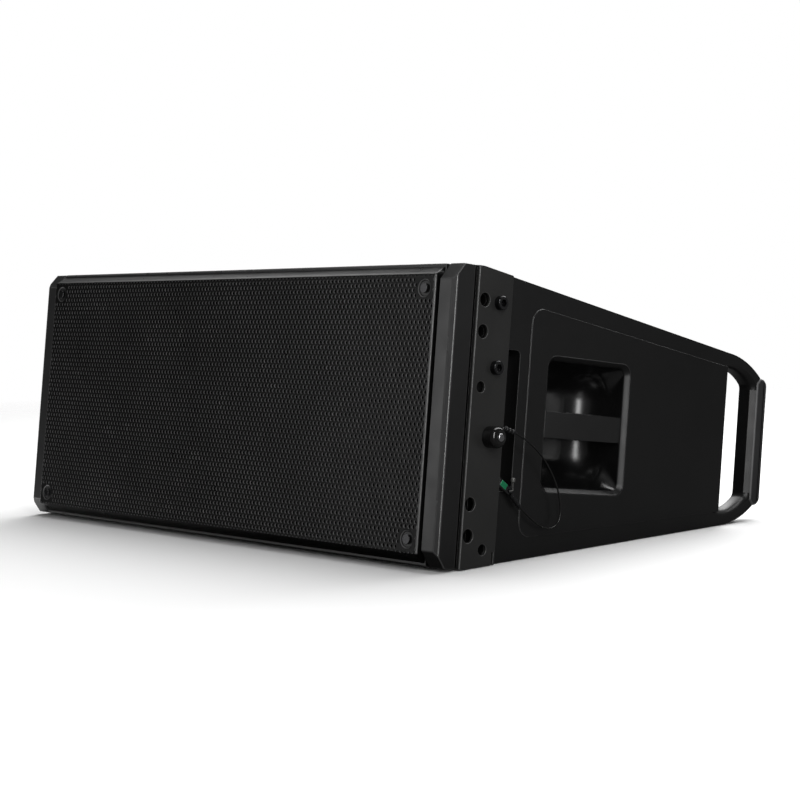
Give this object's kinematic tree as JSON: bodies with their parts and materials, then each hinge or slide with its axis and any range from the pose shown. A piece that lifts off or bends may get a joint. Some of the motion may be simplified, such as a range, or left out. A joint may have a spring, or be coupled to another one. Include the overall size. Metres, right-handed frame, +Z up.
{
  "type": "line array speaker",
  "caption": "Wedge-shaped line array loudspeaker with perforated front grille, side handle cups, rear carrying loops and sliding rigging links.",
  "frame": {"origin": "centre of the bounding box on the plane of the sloping underside, on which the cabinet lies", "axes": "+X to the right seen from the front, +Y to the rear, +Z up; the front face leans back by the wedge angle of 7.05 degrees"},
  "size_m": [0.738, 0.5306, 0.2891],
  "materials": {
    "cabinet_plastic": "fine moulded grain, black",
    "bezel_plastic": "fine moulded grain, charcoal",
    "cup_plastic": "smooth moulded black",
    "bumper_rubber": "matte charcoal rubber",
    "plate_steel": "textured black powder coat",
    "link_steel": "satin black",
    "bolt_steel": "black oxide",
    "pin_black": "satin black",
    "button_steel": "polished",
    "lanyard_black": "black coated wire rope",
    "ferrule_steel": "dark crimped metal",
    "tag_green": "green",
    "grille_steel": "satin charcoal powder coat",
    "foam_black": "open-cell foam",
    "basket_metal": "black",
    "magnet_iron": "dark",
    "cone_paper": "coated paper",
    "coil_copper": "copper winding",
    "surround_rubber": "half-roll",
    "spider_cloth": "impregnated cloth",
    "horn_plastic": "moulded",
    "diaphragm_metal": "thin dome",
    "panel_aluminium": "anodised black aluminium",
    "board_green": "circuit board",
    "socket_plastic": "moulded"
  },
  "bodies": {
    "cabinet": {"top_panel": "cabinet_plastic", "bottom_panel": "cabinet_plastic", "side_cheek_left": "cabinet_plastic", "side_cheek_right": "cabinet_plastic", "rear_bumper_left": "bumper_rubber", "rear_bumper_right": "bumper_rubber", "corner_bezel_left": "bezel_plastic", "corner_bezel_right": "bezel_plastic", "rigging_plate_left": "plate_steel", "rigging_plate_right": "plate_steel", "link_guide_left": "link_steel", "link_guide_right": "link_steel", "lanyard_left": "lanyard_black", "lanyard_right": "lanyard_black", "handle_cup_left": "cup_plastic", "handle_cup_right": "cup_plastic", "grip_bar_left": "cup_plastic", "grip_bar_right": "cup_plastic", "woofer_basket_left": "basket_metal", "woofer_basket_right": "basket_metal", "woofer_magnet_left": "magnet_iron", "woofer_magnet_right": "magnet_iron", "plate_bolts": "bolt_steel", "lanyard_anchors": "ferrule_steel", "anchor_tags": "tag_green", "anchor_ferrules": "ferrule_steel", "front_grille": "grille_steel", "grille_foam": "foam_black", "grille_screws": "bolt_steel", "front_baffle": "cabinet_plastic", "surrounds": "surround_rubber", "spiders": "spider_cloth", "waveguide": "horn_plastic", "compression_driver": "magnet_iron", "rear_panel": "panel_aluminium", "heat_sink": "panel_aluminium", "amplifier_board": "board_green", "power_supply": "panel_aluminium", "signal_sockets": "socket_plastic", "power_sockets": "socket_plastic", "rear_bracket": "plate_steel", "link_pivot": "bolt_steel"},
    "front_link_left": {"front_link_left": "link_steel"},
    "lock_pin_left": {"lock_pin_left": "pin_black", "pin_ferrule_left": "ferrule_steel"},
    "pin_button_left": {"pin_button_left": "button_steel"},
    "woofer_cone_left": {"woofer_cone_left": "cone_paper", "dust_cap_left": "cone_paper", "voice_coil_left": "coil_copper"},
    "front_link_right": {"front_link_right": "link_steel"},
    "lock_pin_right": {"lock_pin_right": "pin_black", "pin_ferrule_right": "ferrule_steel"},
    "pin_button_right": {"pin_button_right": "button_steel"},
    "woofer_cone_right": {"woofer_cone_right": "cone_paper", "dust_cap_right": "cone_paper", "voice_coil_right": "coil_copper"},
    "driver_diaphragm": {"driver_diaphragm": "diaphragm_metal"},
    "level_knob": {"level_knob": "pin_black"},
    "rear_link": {"rear_link": "link_steel"},
    "rear_lock_pin": {"rear_lock_pin": "pin_black"}
  },
  "joints": [
    {"name": "front_link_slide_left", "type": "slide", "parent": "cabinet", "child": "front_link_left", "axis": [0, 0.1227, 0.9924], "range_m": [0, 0.0934]},
    {"name": "lock_pin_slide_left", "type": "slide", "parent": "cabinet", "child": "lock_pin_left", "axis": [-1, 0, 0], "range_m": [0, 0.022]},
    {"name": "pin_button_press_left", "type": "slide", "parent": "lock_pin_left", "child": "pin_button_left", "axis": [1, 0, 0], "range_m": [0, 0.002], "stiffness_N_per_m": 600},
    {"name": "cone_travel_left", "type": "slide", "parent": "cabinet", "child": "woofer_cone_left", "axis": [0, -0.9924, 0.1227], "range_m": [-0.006, 0.006], "stiffness_N_per_m": 3000},
    {"name": "front_link_slide_right", "type": "slide", "parent": "cabinet", "child": "front_link_right", "axis": [0, 0.1227, 0.9924], "range_m": [0, 0.0934]},
    {"name": "lock_pin_slide_right", "type": "slide", "parent": "cabinet", "child": "lock_pin_right", "axis": [1, 0, 0], "range_m": [0, 0.022]},
    {"name": "pin_button_press_right", "type": "slide", "parent": "lock_pin_right", "child": "pin_button_right", "axis": [-1, 0, 0], "range_m": [0, 0.002], "stiffness_N_per_m": 600},
    {"name": "cone_travel_right", "type": "slide", "parent": "cabinet", "child": "woofer_cone_right", "axis": [0, -0.9924, 0.1227], "range_m": [-0.006, 0.006], "stiffness_N_per_m": 3000},
    {"name": "diaphragm_travel", "type": "slide", "parent": "cabinet", "child": "driver_diaphragm", "axis": [0, -0.9924, 0.1227], "range_m": [-0.0005, 0.0005], "stiffness_N_per_m": 20000},
    {"name": "level_turn", "type": "hinge", "parent": "cabinet", "child": "level_knob", "pos_m": [0.12, 0.19357, 0.12533], "axis": [0, -0.9924, 0.1227], "range_deg": [-150, 150]},
    {"name": "rear_link_swing", "type": "hinge", "parent": "cabinet", "child": "rear_link", "pos_m": [0, 0.22331, 0.14583], "axis": [1, 0, 0], "range_deg": [0, 165]},
    {"name": "rear_pin_slide", "type": "slide", "parent": "cabinet", "child": "rear_lock_pin", "axis": [1, 0, 0], "range_m": [0, 0.04]}
  ]
}
